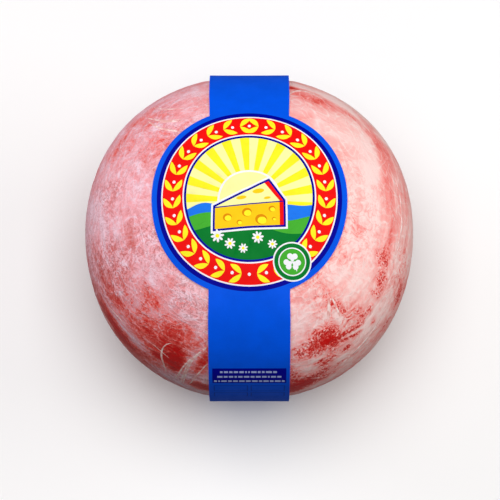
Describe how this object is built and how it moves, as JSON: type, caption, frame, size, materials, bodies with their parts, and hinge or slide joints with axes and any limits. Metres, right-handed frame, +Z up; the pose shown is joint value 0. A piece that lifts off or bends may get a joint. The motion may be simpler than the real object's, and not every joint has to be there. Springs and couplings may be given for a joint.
{
  "type": "ball of cheese",
  "caption": "Flattened ball of semi-hard cheese sealed in tight film over its red rind, belted by a paper label that widens to a disc on top.",
  "frame": {"origin": "centre of the underside, where the label lies between the cheese and the floor", "axes": "+Z up through the label's disc, along the cheese's shortest extent; the label band runs along Y, with the disc's picture upright towards +Y and the small navy panel on the -Y side; +X to the right of the picture"},
  "size_m": [0.1454, 0.1452, 0.1107],
  "materials": {
    "film_over_rind": "semi-gloss, hazy film over a red rind",
    "label_paper": "coated paper, printed blue"
  },
  "bodies": {
    "root": {"cheese_ball": "film_over_rind", "label_band": "label_paper"}
  },
  "joints": []
}
